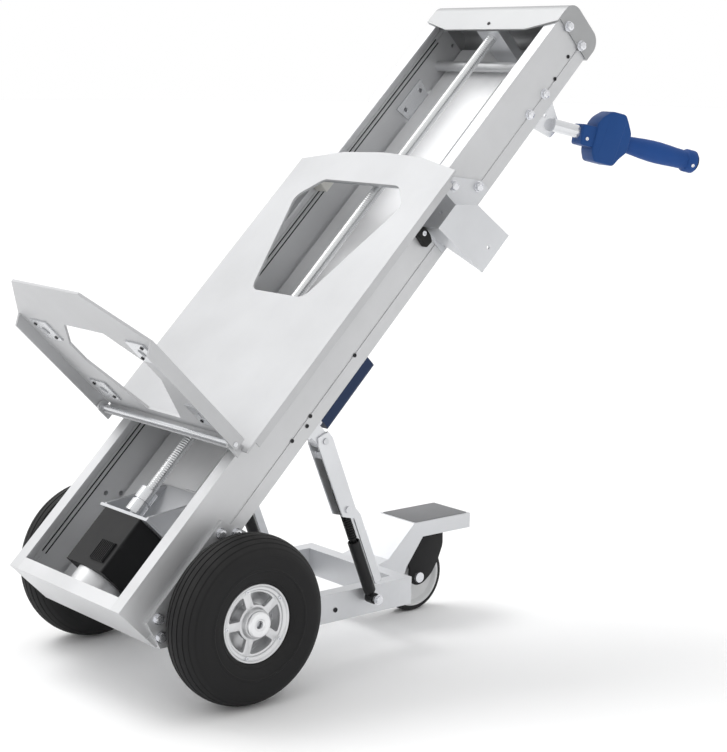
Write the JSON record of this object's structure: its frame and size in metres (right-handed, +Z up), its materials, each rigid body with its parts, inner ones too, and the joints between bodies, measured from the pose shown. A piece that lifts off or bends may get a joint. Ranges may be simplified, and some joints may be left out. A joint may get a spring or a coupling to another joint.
{
  "type": "stair climbing trolley",
  "caption": "Powered stair climbing trolley: leaning aluminium rails, screw-driven load carriage with folding toe plate, pneumatic wheels and a castor base.",
  "frame": {"origin": "on the floor, under the middle of the whole trolley's bounding box", "axes": "+Z up, +Y from the toe plate towards the handles (the user's side), +X to the right when seen from the load's side"},
  "size_m": [0.5364, 1.1412, 1.043],
  "materials": {
    "rail_aluminium": "satin anodised extrusion, fine lengthwise grain",
    "panel_aluminium": "mill-finish sheet",
    "load_sheet": "pale anodised sheet, silky",
    "beam_aluminium": "satin",
    "zinc_steel": "zinc plated, satin",
    "bright_steel": "bright",
    "black_steel": "black powder coat",
    "motor_cap_aluminium": "turned",
    "bronze": "machined bronze",
    "nylon": "natural nylon",
    "tyre_rubber": "matt rubber with fine rings",
    "rim_cast": "die cast, silver lacquer",
    "blue_plastic": "fine moulded texture",
    "blue_rubber": "soft matt",
    "black_plastic": "fine moulded texture",
    "battery_blue": "moulded shell"
  },
  "bodies": {
    "frame": {"left_rail": "rail_aluminium", "right_rail": "rail_aluminium", "back_panel": "panel_aluminium", "foot_channel": "rail_aluminium", "top_cap": "rail_aluminium", "cross_tube": "rail_aluminium", "screw_bearing": "beam_aluminium", "motor_bracket": "panel_aluminium", "motor_housing": "black_steel", "motor_end_cap": "motor_cap_aluminium", "bracket_screws": "black_steel", "hex_bolts": "bright_steel", "left_axle_plate": "panel_aluminium", "right_axle_plate": "panel_aluminium", "axle": "zinc_steel", "side_bracket": "rail_aluminium", "battery_pack": "battery_blue", "left_handle_tube": "zinc_steel", "right_handle_tube": "zinc_steel", "left_handle_pod": "blue_plastic", "right_handle_pod": "blue_plastic", "left_grip": "blue_rubber", "right_grip": "blue_rubber", "left_grip_plug": "black_plastic", "right_grip_plug": "black_plastic", "clamp_screws": "zinc_steel", "left_stay_bracket": "rail_aluminium", "right_stay_bracket": "rail_aluminium", "stay_top_pins": "zinc_steel"},
    "rocker": {"lift_rocker": "black_plastic"},
    "left_wheel": {"left_tyre": "tyre_rubber", "left_rim": "rim_cast", "left_hub_cap": "rim_cast"},
    "right_wheel": {"right_tyre": "tyre_rubber", "right_rim": "rim_cast", "right_hub_cap": "rim_cast"},
    "screw": {"lead_screw": "bright_steel", "shaft_coupling": "bright_steel"},
    "carriage": {"carriage_plate": "load_sheet", "carriage_lower_beam": "beam_aluminium", "carriage_upper_beam": "beam_aluminium", "screw_nut": "bronze", "slide_shoes": "nylon", "toe_hinge_pin": "zinc_steel"},
    "toe": {"toe_plate": "load_sheet", "toe_pads": "zinc_steel", "toe_pad_screws": "black_steel"},
    "base": {"left_base_arm": "beam_aluminium", "right_base_arm": "beam_aluminium", "base_cross_member": "beam_aluminium", "foot_pedal_bracket": "beam_aluminium"},
    "castor_swivel": {"castor_fork": "black_steel", "castor_bolt": "zinc_steel"},
    "castor_wheel": {"castor_tyre": "tyre_rubber", "castor_core": "black_plastic"},
    "left_stay_upper": {"left_stay_fork": "beam_aluminium"},
    "left_stay_lower": {"left_stay_tube": "black_steel"},
    "right_stay_upper": {"right_stay_fork": "beam_aluminium"},
    "right_stay_lower": {"right_stay_tube": "black_steel"}
  },
  "joints": [
    {"name": "left_wheel_spin", "type": "hinge", "parent": "frame", "child": "left_wheel", "pos_m": [-0.211, -0.36132, 0.13], "axis": [1, 0, 0], "continuous": true},
    {"name": "right_wheel_spin", "type": "hinge", "parent": "frame", "child": "right_wheel", "pos_m": [0.211, -0.36132, 0.13], "axis": [1, 0, 0], "continuous": true},
    {"name": "carriage_slide", "type": "slide", "parent": "frame", "child": "carriage", "axis": [0, 0.7071, 0.7071], "range_m": [-0.15, 0.3]},
    {"name": "screw_turn", "type": "hinge", "parent": "frame", "child": "screw", "pos_m": [0, -0.02968, 0.64689], "axis": [0, 0.7071, 0.7071], "range_deg": [-5406, 10806]},
    {"name": "toe_fold", "type": "hinge", "parent": "carriage", "child": "toe", "pos_m": [0, -0.36273, 0.3888], "axis": [-1, 0, 0], "range_deg": [0, 85]},
    {"name": "base_fold", "type": "hinge", "parent": "frame", "child": "base", "pos_m": [0, -0.36132, 0.13], "axis": [1, 0, 0], "range_deg": [0, 28]},
    {"name": "castor_swivel", "type": "hinge", "parent": "base", "child": "castor_swivel", "pos_m": [0, 0.17668, 0.138], "axis": [0, 0, 1], "continuous": true},
    {"name": "castor_spin", "type": "hinge", "parent": "castor_swivel", "child": "castor_wheel", "pos_m": [0, 0.14868, 0.0625], "axis": [1, 0, 0], "continuous": true},
    {"name": "lift_rocker", "type": "hinge", "parent": "frame", "child": "rocker", "pos_m": [0.17497, 0.41183, 0.85547], "axis": [-0.0769, -0.2114, -0.9744], "range_deg": [-8, 8], "stiffness_Nm_per_rad": 0.08},
    {"name": "left_stay_top", "type": "hinge", "parent": "frame", "child": "left_stay_upper", "pos_m": [-0.147, -0.17249, 0.36569], "axis": [1, 0, 0], "range_deg": [0, 14]},
    {"name": "left_stay_foot", "type": "hinge", "parent": "base", "child": "left_stay_lower", "pos_m": [-0.147, -0.06157, 0.0932], "axis": [1, 0, 0], "range_deg": [-14, 0]},
    {"name": "right_stay_top", "type": "hinge", "parent": "frame", "child": "right_stay_upper", "pos_m": [0.147, -0.17249, 0.36569], "axis": [1, 0, 0], "range_deg": [0, 14]},
    {"name": "right_stay_foot", "type": "hinge", "parent": "base", "child": "right_stay_lower", "pos_m": [0.147, -0.06157, 0.0932], "axis": [1, 0, 0], "range_deg": [-14, 0]}
  ],
  "couplings": [
    {"joint": "screw_turn", "follows": "carriage_slide", "rad_per_m": 628.32},
    {"joint": "left_stay_top", "follows": "base_fold", "ratio": 0.5},
    {"joint": "left_stay_foot", "follows": "base_fold", "ratio": -0.5},
    {"joint": "right_stay_top", "follows": "base_fold", "ratio": 0.5},
    {"joint": "right_stay_foot", "follows": "base_fold", "ratio": -0.5}
  ]
}
